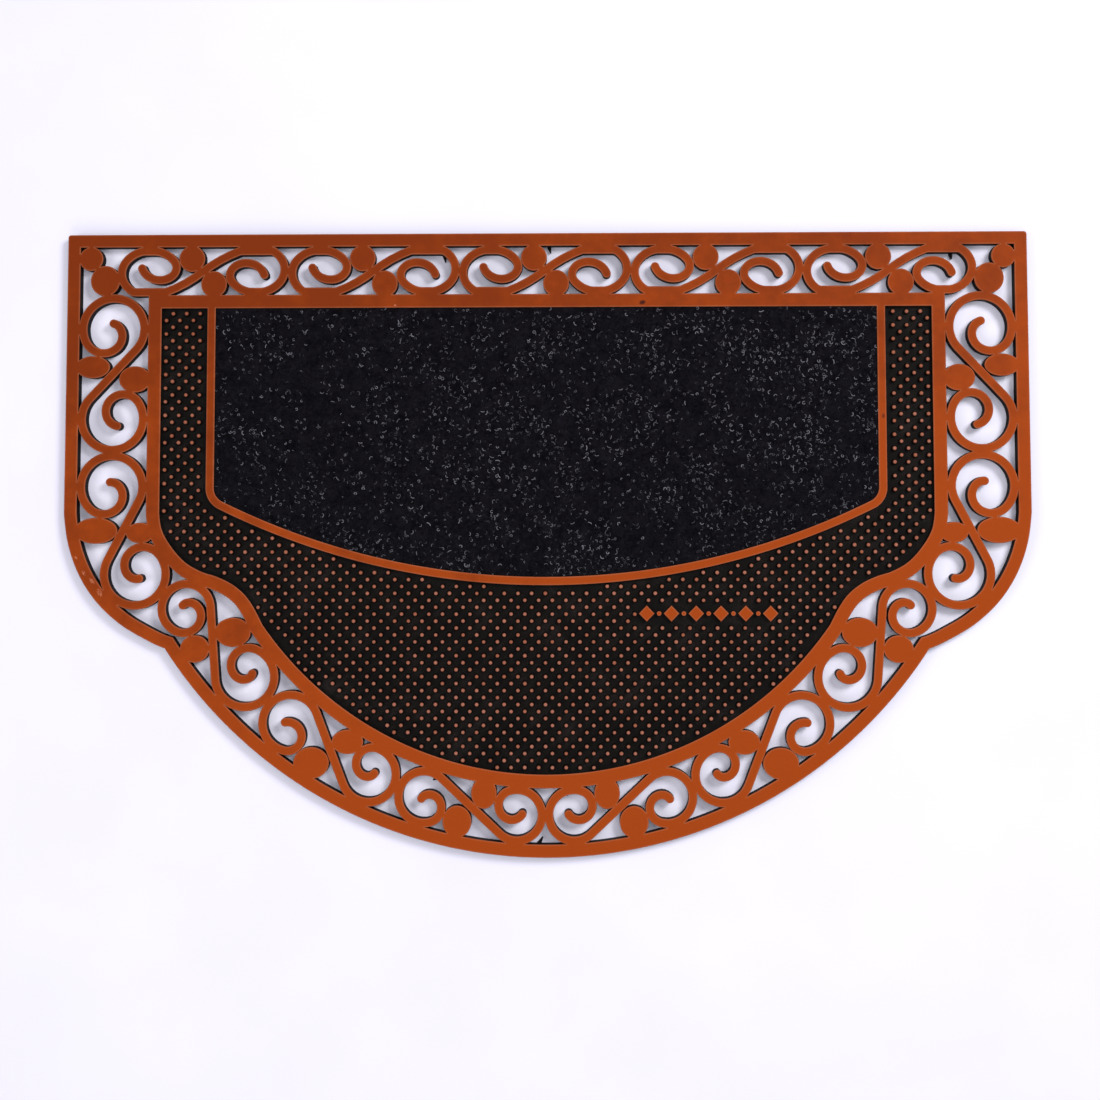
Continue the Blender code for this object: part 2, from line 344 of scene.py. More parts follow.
def outerOutline(cornerRadius):
    centre = Vector((0, outer["arcRadius"]))
    half = math.degrees(math.asin(outer["arcHalfWidth"] / outer["arcRadius"]))
    arc = arcPoints(centre, outer["arcRadius"], -90 - half, -90, fineness["arcStep"])
    spots = outer["shoulder"] + (Spot(*arc[0]),)
    side = smoothThrough(spots, outer["before"], outer["after"], fineness["bendSteps"])
    corner = Vector((cornerRadius - matLength / 2, matDepth - cornerRadius))
    turn = arcPoints(corner, cornerRadius, 90, 180, fineness["roundEndStep"]) if cornerRadius else [corner]
    left = turn + side + arc[1:]
    return left + mirrored(left[:-1])


def fieldOutline():
    centre = Vector((0, field["arcBottom"] + field["arcRadius"]))
    half = math.degrees(math.asin(field["arcHalfWidth"] / field["arcRadius"]))
    arc = arcPoints(centre, field["arcRadius"], -90 - half, -90, fineness["arcStep"])
    spots = field["bend"] + (Spot(*arc[0]),)
    after = centre + (arc[1] - centre).normalized() * field["arcRadius"]
    side = smoothThrough(spots, field["before"], after, fineness["bendSteps"])
    left = [Vector((-field["halfWidth"], field["top"]))] + side + arc[1:]
    return left + mirrored(left[:-1])


def ribLine():
    centre = Vector((0, rib["arcBottom"] + rib["arcRadius"]))
    cornerX = rib["halfWidth"] - rib["cornerRadius"]
    reach = rib["arcRadius"] - rib["cornerRadius"]
    corner = Vector((-cornerX, centre.y - math.sqrt(reach ** 2 - cornerX ** 2)))
    meeting = math.degrees(math.atan2(corner.y - centre.y, corner.x))
    turn = arcPoints(corner, rib["cornerRadius"], 180, meeting + 360, fineness["ringStep"])
    arc = arcPoints(centre, rib["arcRadius"], meeting, -90, fineness["ribStep"])
    left = [Vector((-rib["halfWidth"], field["top"] + rubber["innerRail"] / 2))] + turn + arc[1:]
    return left + mirrored(left[:-1])


def closeAtRail(line):
    # Ends an outline on the edge of the top rail
    return [Vector((line[0].x, field["top"]))] + line[1:-1] + [Vector((line[-1].x, field["top"]))]


def ringStroke(centre, ring, sense, leave):
    # From the curl's tip outwards to the angle where the stem leaves; sense is 1 anticlockwise
    curlCentre = centre + (ring.radius - ring.curl) * heading(ring.join)
    count = math.ceil(ring.turn / fineness["ringStep"])
    points = []
    for i in range(count):
        left = 1 - i / count
        radius = ring.curl - (ring.curl - ring.tip) * left ** 2
        points.append(curlCentre + radius * heading(ring.join - sense * ring.turn * left))
    sweep = sense * (leave - ring.join) % 360
    return points + arcPoints(centre, ring.radius, ring.join, ring.join + sense * sweep, fineness["ringStep"])


def scrollLine(start, end, sense, bow=0.0):
    # Two curled rings joined by the straight or slightly bowed stem that touches both
    a = Vector((start.x, start.y))
    b = Vector((end.x, end.y))
    span = b - a
    lean = math.degrees(math.acos((start.radius + end.radius) / span.length))
    leave = math.degrees(math.atan2(span.y, span.x)) - sense * lean
    first = ringStroke(a, start, sense, leave)
    second = ringStroke(b, end, sense, leave + 180)
    stem = second[-1] - first[-1]
    across = Vector((-stem.y, stem.x)).normalized()
    pieces = fineness["stemPieces"]
    middle = []
    for k in range(1, pieces):
        sway = across * bow * math.sin(2 * math.pi * k / pieces)
        middle.append(first[-1] + stem * k / pieces + sway)
    return first + middle + list(reversed(second))


def strokeOutline(line):
    # Closed outline of a stroke of even width with round ends
    half = rubber["stroke"] / 2
    ends = []
    for tip, inner in ((line[-1], line[-2]), (line[0], line[1])):
        ahead = tip - inner
        turn = math.degrees(math.atan2(ahead.y, ahead.x))
        ends.append(arcPoints(tip, half, turn - 90, turn + 90, fineness["roundEndStep"]))
    rightSide = shifted(line, -half, False)
    leftSide = shifted(line, half, False)
    return rightSide[:-1] + ends[0] + list(reversed(leftSide))[1:-1] + ends[1][:-1]


def discOutline(disc):
    outline = []
    for i in range(fineness["discSides"]):
        spoke = heading(360 * (i + 0.5) / fineness["discSides"])
        outline.append(Vector((disc.x + disc.halfWidth * spoke.x, disc.y + disc.halfHeight * spoke.y)))
    return outline


def borderShapes():
    shapes = []
    for start, end in sideScrolls:
        outline = strokeOutline(scrollLine(start, end, -1))
        shapes += [outline, mirrored(outline)]
    for disc in sideDiscs:
        outline = discOutline(disc)
        shapes += [outline, mirrored(outline)]
    ring = topRow["ring"]
    opposite = ring._replace(x=-ring.x, y=-ring.y, join=ring.join + 180)
    line = scrollLine(ring, opposite, 1, -topRow["bow"])
    disc = topRow["disc"]
    for i in range(topRow["count"]):
        middle = Vector(((i - (topRow["count"] - 1) / 2) * topRow["pitch"], topRow["y"]))
        placed = []
        for point in line:
            level = max(-topRow["flat"], min(topRow["flat"], point.y))
            placed.append(middle + Vector((point.x * topRow["stretch"], level)))
        shapes.append(strokeOutline(placed))
        for side in (1, -1):
            shapes.append(discOutline(disc._replace(x=middle.x + side * disc.x, y=middle.y + side * disc.y)))
    return shapes


def accentShapes():
    shapes = []
    for i in range(accent["count"]):
        x = accent["left"] + i * accent["pitch"]
        lozenge = []
        for turn in (0, 90, 180, 270):
            corner = heading(turn)
            lozenge.append(Vector((x + accent["halfWidth"] * corner.x,
                                   accent["y"] + accent["halfHeight"] * corner.y)))
        shapes.append(lozenge)
        if i < accent["count"] - 1:
            dot = Vector((x + accent["pitch"] / 2, accent["y"]))
            shapes.append(arcPoints(dot, accent["dot"], 0, 360, fineness["dotStep"])[:-1])
    return shapes


def pipShapes():
    # Blunt wedges that start inside the wall
    shapes = []
    half = rubber["flashWidth"] / 2
    for pip in pips:
        ahead = heading(pip.turn)
        across = heading(pip.turn + 90)
        wall = Vector((pip.x, pip.y))
        tip = wall + ahead * pip.reach
        blunt = across * half * rubber["flashTaper"]
        shapes.append([wall - ahead * half - across * half, tip - blunt,
                       tip + blunt, wall - ahead * half + across * half])
    return shapes


def fillSmallGaps(points, triangles, heights):
    # Gaps too narrow to mould are closed at the raised height
    owner = {}
    for index, triangle in enumerate(triangles):
        for i in range(3):
            owner[(triangle[i], triangle[(i + 1) % 3])] = index
    seen = set()
    for first, height in enumerate(heights):
        if height > 0 or first in seen:
            continue
        seen.add(first)
        gap = [first]
        area = 0.0
        for index in gap:
            triangle = triangles[index]
            a, b, c = (points[i] for i in triangle)
            area += (b - a).cross(c - a) / 2
            for i in range(3):
                other = owner.get((triangle[(i + 1) % 3], triangle[i]))
                if other is not None and heights[other] == 0 and other not in seen:
                    seen.add(other)
                    gap.append(other)
        if area < fineness["smallestGap"]:
            for index in gap:
                heights[index] = matHeight


def planHeights():
    # The whole plan as triangles, each with its height; 0 is open air
    fieldEdge = fieldOutline()
    ribMiddle = ribLine()
    loops = [outerOutline(rubber["cornerRadius"]), shifted(outerOutline(0), rubber["outerRail"], True),
             shifted(fieldEdge, -rubber["innerRail"], True), fieldEdge]
    loops.append(closeAtRail(shifted(ribMiddle, -rubber["rib"] / 2, False)))
    loops.append(closeAtRail(shifted(ribMiddle, rubber["rib"] / 2, False)))
    borderStart = len(loops)
    loops += borderShapes()
    accentStart = len(loops)
    loops += accentShapes()
    pipStart = len(loops)
    loops += pipShapes()
    points, triangles, covers = splitPlan(loops)
    heights = []
    for cover in covers:
        inBorder = any(borderStart <= loop < accentStart for loop in cover)
        inAccent = any(accentStart <= loop < pipStart for loop in cover)
        inPip = any(loop >= pipStart for loop in cover)
        if 0 not in cover:
            heights.append(0.0)
        elif 1 not in cover:
            heights.append(matHeight)
        elif 2 not in cover:
            heights.append(matHeight if inBorder else rubber["flashHeight"] if inPip else 0.0)
        elif 3 not in cover:
            heights.append(matHeight)
        elif 5 in cover:
            heights.append(rubber["recessHeight"])
        elif 4 in cover or inAccent:
            heights.append(matHeight)
        else:
            heights.append(rubber["fieldHeight"])
    fillSmallGaps(points, triangles, heights)
    return points, triangles, heights


def stepEdges(triangles, heights):
    # Directed edges with the higher side on their left, each with its two heights
    beside = {}
    for triangle, height in zip(triangles, heights):
        for i in range(3):
            beside[(triangle[i], triangle[(i + 1) % 3])] = height
    steps = []
    for (a, b), height in beside.items():
        below = beside.get((b, a), 0.0)
        if height > below:
            steps.append((a, b, height, below))
    return steps


def insetPoints(points, rims, distance):
    # Each point of the raised rims, moved into the raised side: one point where the rim runs
    # on or turns inwards, an arc of points round the tip of a narrow gap
    leaving = {}
    arriving = {}
    for a, b in rims:
        leaving.setdefault(a, []).append(b)
        arriving.setdefault(b, []).append(a)
    moved = {}
    for index, nexts in leaving.items():
        backs = arriving.get(index, ())
        if len(nexts) != 1 or len(backs) != 1:
            continue
        into = (points[index] - points[backs[0]]).normalized()
        out = (points[nexts[0]] - points[index]).normalized()
        turn = math.degrees(math.atan2(into.cross(out), into.dot(out)))
        side = math.degrees(math.atan2(into.y, into.x)) + 90
        if turn < -fineness["tipStep"]:
            moved[index] = arcPoints(points[index], distance, side, side + turn, fineness["tipStep"])
        else:
            reach = distance / max(0.5, math.cos(math.radians(turn / 2)))
            moved[index] = [points[index] + reach * heading(side + turn / 2)]
    return moved


def roundedPlan(points, triangles, heights):
    # Cuts the plan again along its steps and the lines that its rounded rims need
    steps = stepEdges(triangles, heights)
    used = {}
    corners = []
    edges = []
    for a, b, high, low in steps:
        for index in (a, b):
            if index not in used:
                used[index] = len(corners)
                corners.append(points[index])
        edges.append((used[a], used[b]))
    rims = [(a, b) for a, b, high, low in steps if high == matHeight]
    for distance in rubber["edgeLines"]:
        numbers = {}
        for index, line in insetPoints(points, rims, distance).items():
            numbers[index] = list(range(len(corners), len(corners) + len(line)))
            corners += line
            edges += zip(numbers[index], numbers[index][1:])
        for a, b in rims:
            if a in numbers and b in numbers:
                edges.append((numbers[a][-1], numbers[b][0]))
    result = delaunay_2d_cdt(corners, edges, [], 1, fineness["mergeDistance"])
    flat = BVHTree.FromPolygons([Vector((p.x, p.y, 0)) for p in points], triangles)
    newTriangles = []
    newHeights = []
    for triangle in result[2]:
        middle = sum((result[0][i] for i in triangle), Vector((0, 0))) / 3
        hit = flat.ray_cast(Vector((middle.x, middle.y, 1)), Vector((0, 0, -1)))[2]
        if hit is not None and heights[hit] > 0:
            newTriangles.append(triangle)
            newHeights.append(heights[hit])
    return result[0], newTriangles, newHeights


def rimDistances(points, steps):
    # How far each point of the plan lies from the nearest step
    corners = []
    walls = []
    for a, b, high, low in steps:
        walls.append(tuple(range(len(corners), len(corners) + 4)))
        for index, z in ((a, -1), (b, -1), (b, 1), (a, 1)):
            corners.append(Vector((points[index].x, points[index].y, z)))
    tree = BVHTree.FromPolygons(corners, walls)
    return [tree.find_nearest(Vector((p.x, p.y, 0)))[3] for p in points]


def rubberMesh(name):
    points, triangles, heights = roundedPlan(*planHeights())
    steps = stepEdges(triangles, heights)
    distances = rimDistances(points, steps)
    radius = rubber["edgeRound"]
    mesh = bmesh.new()
    # Layer of painted highlight, strongest at the rims and fading inwards
    highlightLayer = mesh.verts.layers.float.new("rimWear")
    corners = {}

    def corner(index, height):
        key = (index, height)
        if key not in corners:
            z = height
            if height == matHeight and distances[index] < radius:
                z -= radius - math.sqrt(radius ** 2 - (radius - distances[index]) ** 2)
            corners[key] = mesh.verts.new(inSpace(points[index].x, points[index].y, z))
            if height == matHeight:
                corners[key][highlightLayer] = max(0.0, 1 - distances[index] / rubber["highlightWidth"])
        return corners[key]

    levels = {}
    for a, b, high, low in steps:
        for index in (a, b):
            levels.setdefault(index, set()).update((high, low))

    def riser(index, low, high):
        # A wall's upright edge also takes in the level of a lower step that meets it
        return [corner(index, height) for height in sorted(levels[index]) if low <= height <= high]

    for triangle, height in zip(triangles, heights):
        mesh.faces.new([corner(i, height) for i in triangle])
        mesh.faces.new([corner(i, 0.0) for i in reversed(triangle)])
    for a, b, high, low in steps:
        mesh.faces.new(riser(b, low, high) + riser(a, low, high)[::-1])
    print("rubber:", len(mesh.verts), "points,", len(mesh.faces), "faces,",
          sum(not edge.is_manifold for edge in mesh.edges), "open edges")
    return finishedMesh(name, mesh, fineness["sharpAngle"])


# Materials

def newMaterial(name, constants):
    material = bpy.data.materials.new(name)
    material.use_nodes = True
    shader = material.node_tree.nodes["Principled BSDF"]
    for key, value in constants.items():
        shader.inputs[key].default_value = value
    return material, Graph(material.node_tree), shader


def feed(graph, shader, links):
    for key, value in links.items():
        graph.tree.links.new(value.source, shader.inputs[key])


railPaint = {
    "main": (0.33, 0.050, 0.0042, 1.0),
    "dark": (0.185, 0.026, 0.0025, 1.0),
    # Painted highlight along the rounded rims
    "rim": (0.40, 0.130, 0.062, 1.0),
    "edge": 7.42,
    "ragged": 0.20,
}

# Stud paint: main is paler than the rails' paint, partly thinner paint and partly a painted highlight on the
# domed crowns; rim is painted shade down the dome's side between rimLow and rimHigh
studPaint = {
    "main": (0.36, 0.145, 0.098, 1.0),
    "dark": (0.28, 0.086, 0.044, 1.0),
    "rim": (0.060, 0.016, 0.008, 1.0),
    "edge": 7.05,
    "ragged": 0.30,
    "rimLow": 7.35,
    "rimHigh": 7.84,
}

rubberTones = {
    "bare": (0.0042, 0.0031, 0.0028, 1.0),
    "dust": (0.0150, 0.0115, 0.0110, 1.0),
    "scuff": (0.56, 0.20, 0.11, 1.0),
    "smudge": (0.030, 0.006, 0.005, 1.0),
}

# Painted light: the paint is drawn brighter towards the arc and the right end, as if lit more there
paintedLightDrift = {"x": 0.000275, "y": 0.0009, "middle": 0.147}

# How fine each pattern on the rubber is, in repeats for each metre
rubberGrain = {"broad": 6.0, "cloudy": 55.0, "grain": 900.0, "ragged": 700.0}

# Scuffs and smudges on the paint of the rails
scuffs = (
    Mark(-334.6, 202.8, 2.6, 1.3, -60, 0.8),
    Mark(-328.6, 197.0, 3.2, 1.5, -50, 0.8),
    Mark(-340.6, 213.6, 1.8, 1.2, -60, 0.7),
    Mark(-323.0, 188.5, 3.8, 2.0, -60, 0.8),
    Mark(-109.3, 397.4, 1.1, 0.9, 20, 0.8),
)
smudges = (
    Mark(70.9, 398.8, 3.0, 2.0, 15, 0.9),
    Mark(244.5, 315.6, 1.4, 2.2, 0, 0.6),
)


def markField(graph, x, y, marks):
    # Each mark's strength at its middle, falling to nothing at its edge
    total = 0.0
    for mark in marks:
        ahead = heading(mark.turn)
        along = ((x - mark.x) * ahead.x + (y - mark.y) * ahead.y) / mark.halfWidth
        across = ((y - mark.y) * ahead.x - (x - mark.x) * ahead.y) / mark.halfHeight
        total = (1 - graph.smooth(along * along + across * across, 0.1, 1.0)) * mark.strength + total
    return total


# Both dress functions take the same inputs, so that paintedRubber can call either

def railDress(graph, colour, x, y, z, cloudy, grain):
    # Paint of the rails: a painted highlight along the rounded rims, with a few scuffs and smudges
    rim = graph.attribute("rimWear") * (0.1 + cloudy)
    colour = graph.mixColour(rim, colour, railPaint["rim"])
    rubbed = graph.smooth(grain, 0.40, 0.62)
    colour = graph.mixColour(markField(graph, x, y, scuffs) * rubbed, colour, rubberTones["scuff"])
    return graph.mixColour(markField(graph, x, y, smudges), colour, rubberTones["smudge"])


def studDress(graph, colour, x, y, z, cloudy, grain):
    # Paint of a stud: brightest on the crown, drawn darker down the side as painted shade of the dome, and
    # each stud worn a little otherwise
    rim = 1 - graph.smooth(z + (cloudy - 0.5) * 0.2, studPaint["rimLow"], studPaint["rimHigh"])
    colour = graph.mixColour(graph.attribute("studWear"), colour, studPaint["dark"])
    return graph.mixColour(rim, colour, studPaint["rim"])


def paintedRubber(name, coatOf, dress):
    # Black rubber with a coat of paint rolled on its highest faces
    material, graph, shader = newMaterial(name, {"Metallic": 0.0, "Specular IOR Level": 0.06})
    place = graph.node("ShaderNodeTexCoord", out="Object")
    xyz = graph.node("ShaderNodeSeparateXYZ", None, {0: place})
    x = xyz / mm
    y = (xyz.other("Y") - matLow.y) / mm
    z = (xyz.other("Z") - matLow.z) / mm
    broad = graph.noise(place, rubberGrain["broad"], 3.0, 0.6)
    cloudy = graph.noise(place, rubberGrain["cloudy"], 4.0, 0.65)
    grain = graph.noise(place, rubberGrain["grain"], 3.0, 0.6)
    ragged = graph.noise(place, rubberGrain["ragged"], 2.0, 0.5)
    coat = graph.smooth(z + (ragged - 0.5) * coatOf["ragged"], coatOf["edge"] - 0.05, coatOf["edge"] + 0.05)
    # Painted light: brighter paint towards the arc and the right end
    paintedLight = paintedLightDrift["x"] * x + paintedLightDrift["y"] * (matDepth / 2 - y) + paintedLightDrift["middle"]
    # Random tone of the paint, mixed with that painted light
    toneAndPaintedLight = graph.smooth(broad * 0.45 + cloudy * 0.4 + paintedLight, 0.30, 0.66)
    colour = graph.mixColour(toneAndPaintedLight, coatOf["dark"], coatOf["main"])
    colour = graph.mixColour((grain - 0.5) * 0.45 + 0.1, colour, coatOf["dark"])
    colour = dress(graph, colour, x, y, z, cloudy, grain)
    dusty = graph.smooth(cloudy * 0.6 + grain * 0.4, 0.45, 0.7)
    bare = graph.mixColour(dusty, rubberTones["bare"], rubberTones["dust"])
    bump = graph.node("ShaderNodeBump", None, {
        "Strength": 0.35, "Distance": 0.00012, "Height": grain * 0.6 + cloudy * 0.4}, "Normal")
    feed(graph, shader, {
        "Base Color": graph.mixColour(coat, bare, colour),
        "Roughness": 0.50 + 0.16 * cloudy + (1 - coat) * 0.08,
        "Normal": bump,
    })
    return material


# Geometry Nodes trees

def newTree(name, inputs):
    tree = bpy.data.node_groups.new(name, "GeometryNodeTree")
    tree.interface.new_socket(name="Geometry", in_out="OUTPUT", socket_type="NodeSocketGeometry")
    for label, value in inputs.items():
        kind = "NodeSocketFloat"
        if isinstance(value, bpy.types.Object):
            kind = "NodeSocketObject"
        elif isinstance(value, bpy.types.Material):
            kind = "NodeSocketMaterial"
        elif isinstance(value, int):
            kind = "NodeSocketInt"
        tree.interface.new_socket(name=label, in_out="INPUT", socket_type=kind)
    graph = Graph(tree)
    entry = tree.nodes.new("NodeGroupInput")
    return graph, {label: Socket(graph, entry.outputs[label]) for label in inputs}


def endTree(graph, shape, material):
    # Instances become real faces, shaded smooth, with their material
    real = graph.node("GeometryNodeRealizeInstances", None, {0: shape})
    smooth = graph.node("GeometryNodeSetShadeSmooth", None, {0: real})
    done = graph.node("GeometryNodeSetMaterial", None, {"Geometry": smooth, "Material": material})
    out = graph.tree.nodes.new("NodeGroupOutput")
    graph.tree.links.new(done.source, out.inputs[0])


def grow(name, tree, inputs):
    # Runs a tree once and keeps its result as a plain mesh
    carrier = addObject(name, bpy.data.meshes.new(name), None)
    modifier = carrier.modifiers.new(name, "NODES")
    modifier.node_group = tree
    for item in tree.interface.items_tree:
        if item.in_out == "INPUT":
            modifier[item.identifier] = inputs[item.name]
    bpy.context.view_layer.update()
    evaluated = carrier.evaluated_get(bpy.context.evaluated_depsgraph_get())
    data = bpy.data.meshes.new_from_object(evaluated)
    carrier.modifiers.clear()
    carrier.data = data
    data.name = name
    print(name + ":", len(data.polygons), "faces")
    return carrier


# Studs of the sunk field

studs = {
    "halfPitchX": 4.948,
    "halfPitchY": 4.97,
    "firstX": 5.05,
    "firstY": 113.4,
    "columns": 59,
    "rows": 79,
    "footRadius": 2.2,
    "topRadius": 1.36,
    "topHeight": 7.85,
    "doming": 0.8,
    "sink": 0.15,
    "sides": 10,
    "sideSegments": 4,
    "flare": 1.6,
    "domeSharpness": 5,
    "lean": 0.03,
    "smallest": 0.94,
    "largest": 1.05,
    "mostWear": 0.8,
    "edgeClearance": 2.5,
    "ribClearance": 2.5,
    "accentHalfHeight": 8.5,
    "accentClearance": 0.5,
    "seed": 11,
}


def studGround():
    # Flat patch of field floor on which studs stand; it is removed once they are grown
    fieldEdge = shifted(fieldOutline(), studs["edgeClearance"], True)
    ribEdge = closeAtRail(shifted(ribLine(), -rubber["rib"] / 2 - studs["ribClearance"], False))
    margin = accent["halfWidth"] + studs["accentClearance"]
    left = accent["left"] - margin
    right = accent["left"] + (accent["count"] - 1) * accent["pitch"] + margin
    low = accent["y"] - studs["accentHalfHeight"]
    high = accent["y"] + studs["accentHalfHeight"]
    strip = [Vector((left, low)), Vector((right, low)), Vector((right, high)), Vector((left, high))]
    points, triangles, covers = splitPlan([fieldEdge, ribEdge, strip])
    mesh = bmesh.new()
    corners = [mesh.verts.new(inSpace(p.x, p.y, rubber["fieldHeight"])) for p in points]
    for triangle, cover in zip(triangles, covers):
        if 0 in cover and 1 not in cover and 2 not in cover:
            mesh.faces.new([corners[i] for i in triangle])
    return addObject("studGround", finishedMesh("studGround", mesh, 180), None)


def studTree(inputs):
    graph, given = newTree("studField", inputs)
    across = given["Half pitch X"]
    along = given["Half pitch Y"]
    grid = graph.node("GeometryNodeMeshGrid", None, {
        "Size X": across * 2 * (given["Columns"] - 1),
        "Size Y": along * 2 * (given["Rows"] - 1),
        "Vertices X": given["Columns"],
        "Vertices Y": given["Rows"]})
    between = graph.node("GeometryNodeTransform", None, {
        "Geometry": grid, "Translation": graph.vector(across, along, 0.0)})
    both = graph.node("GeometryNodeJoinGeometry", None, {0: [grid, between]})
    placed = graph.node("GeometryNodeTransform", None, {
        "Geometry": both, "Translation": graph.vector(given["Middle X"], given["Middle Y"], given["Floor"])})
    ground = graph.node("GeometryNodeObjectInfo", None, {"Object": given["Ground"]}, "Geometry")
    here = graph.node("GeometryNodeInputPosition")
    above = graph.node("ShaderNodeVectorMath", {"operation": "ADD"}, {0: here, 1: (0.0, 0.0, 0.01)})
    onFloor = graph.node("GeometryNodeRaycast", None, {
        "Target Geometry": ground, "Source Position": above,
        "Ray Direction": (0.0, 0.0, -1.0), "Ray Length": 0.05}, "Is Hit")
    off = graph.node("FunctionNodeBooleanMath", {"operation": "NOT"}, {0: onFloor})
    kept = graph.node("GeometryNodeDeleteGeometry", {"domain": "POINT"}, {
        "Geometry": placed, "Selection": off})
    # One stud: a cylinder of unit size drawn into a tapered peg with a domed top
    peg = graph.node("GeometryNodeMeshCylinder", {"fill_type": "NGON"}, {
        "Vertices": given["Sides"], "Side Segments": studs["sideSegments"], "Radius": 1.0, "Depth": 1.0})
    spot = graph.node("ShaderNodeSeparateXYZ", None, {0: graph.node("GeometryNodeInputPosition")})
    up = spot.other("Z") + 0.5
    spread = given["Foot radius"] - given["Top radius"]
    radius = given["Top radius"] + spread * (1 - up) ** studs["flare"]
    radius = radius - given["Doming"] * up ** studs["domeSharpness"]
    rise = given["Height"] * (1 - (1 - up) ** 2)
    shaped = graph.vector(spot * radius, spot.other("Y") * radius, rise)
    stud = graph.node("GeometryNodeSetPosition", None, {"Geometry": peg, "Position": shaped})
    tilt = graph.node("FunctionNodeRandomValue", {"data_type": "FLOAT_VECTOR"}, {
        0: (-studs["lean"], -studs["lean"], 0.0), 1: (studs["lean"], studs["lean"], fullTurn),
        "Seed": given["Seed"]}, 0)
    size = graph.node("FunctionNodeRandomValue", {"data_type": "FLOAT"}, {
        2: studs["smallest"], 3: studs["largest"], "Seed": given["Seed"] + 1}, 1)
    many = graph.node("GeometryNodeInstanceOnPoints", None, {
        "Points": kept, "Instance": stud, "Rotation": tilt, "Scale": graph.vector(size, size, 1.0)})
    worn = graph.node("FunctionNodeRandomValue", {"data_type": "FLOAT"}, {
        2: 0.0, 3: 1.0, "Seed": given["Seed"] + 2}, 1)
    marked = graph.node("GeometryNodeStoreNamedAttribute", {"data_type": "FLOAT", "domain": "INSTANCE"}, {
        "Geometry": many, "Name": "studWear", "Value": worn * worn * studs["mostWear"]})
    endTree(graph, marked, given["Material"])
    return graph.tree


def buildStuds(material):
    ground = studGround()
    middle = inSpace(studs["firstX"], studs["firstY"], rubber["fieldHeight"] - studs["sink"])
    inputs = {
        "Ground": ground,
        "Material": material,
        "Columns": studs["columns"],
        "Rows": studs["rows"],
        "Half pitch X": studs["halfPitchX"] * mm,
        "Half pitch Y": studs["halfPitchY"] * mm,
        "Middle X": middle.x,
        "Middle Y": middle.y,
        "Floor": middle.z,
        "Foot radius": studs["footRadius"] * mm,
        "Top radius": studs["topRadius"] * mm,
        "Doming": studs["doming"] * mm,
        "Height": (studs["topHeight"] - rubber["fieldHeight"] + studs["sink"]) * mm,
        "Sides": studs["sides"],
        "Seed": studs["seed"],
    }
    piece = grow("fieldStuds", studTree(inputs), inputs)
    bpy.data.objects.remove(ground, do_unlink=True)
    return piece


# Carpet panel and its loose fibres

carpet = {
    "clearance": 0.3,
    "backHeight": 3.3,
    "feltTop": 6.9,
    "unevenness": 0.22,
    "unevenSize": 14.0,
    "gridStep": 6.0,
}

# Tones of the felt and of its fibres
carpetTones = {
    "feltDark": (0.0022, 0.0019, 0.0028, 1.0),
    "feltPale": (0.0085, 0.0075, 0.0105, 1.0),
    "thread": (0.045, 0.043, 0.052, 1.0),
    "blackDark": (0.0025, 0.0022, 0.0032, 1.0),
    "blackPale": (0.013, 0.012, 0.016, 1.0),
    "greyDark": (0.015, 0.014, 0.018, 1.0),
    "greyPale": (0.20, 0.195, 0.225, 1.0),
}

# Loose fibres gather in patches, and "drift" makes them denser towards the right end
fibreSpread = {
    "patchScale": 75.0,
    "patchLow": 0.42,
    "patchHigh": 0.64,
    "patchGain": 1.7,
    "driftGain": 2.2,
    "lift": 0.1,
    "lean": 0.22,
    "smallest": 0.45,
    "largest": 1.45,
}

# The shapes that a loose fibre may have: part of a spiral between two radii, with its rise
fibreShapes = (
    Curl(0.42, 1.25, 0.95, 0.28, 12),
    Curl(0.62, 0.95, 0.45, 0.35, 9),
    Curl(0.20, 2.20, 1.90, 0.22, 22),
    Curl(0.80, 0.60, 0.85, 0.40, 7),
)

blackFibres = {"density": 60000.0, "thickness": 0.15, "seed": 3, "clump": 0.2, "drift": 0.0}
greyFibres = {"density": 66000.0, "thickness": 0.34, "seed": 8, "clump": 0.85, "drift": 0.5}


def carpetOutline():
    recess = closeAtRail(shifted(ribLine(), rubber["rib"] / 2, False))
    return shifted(recess, carpet["clearance"], True)


def planArea(outline):
    return 0.5 * sum(outline[i - 1].cross(outline[i]) for i in range(len(outline))) * mm * mm


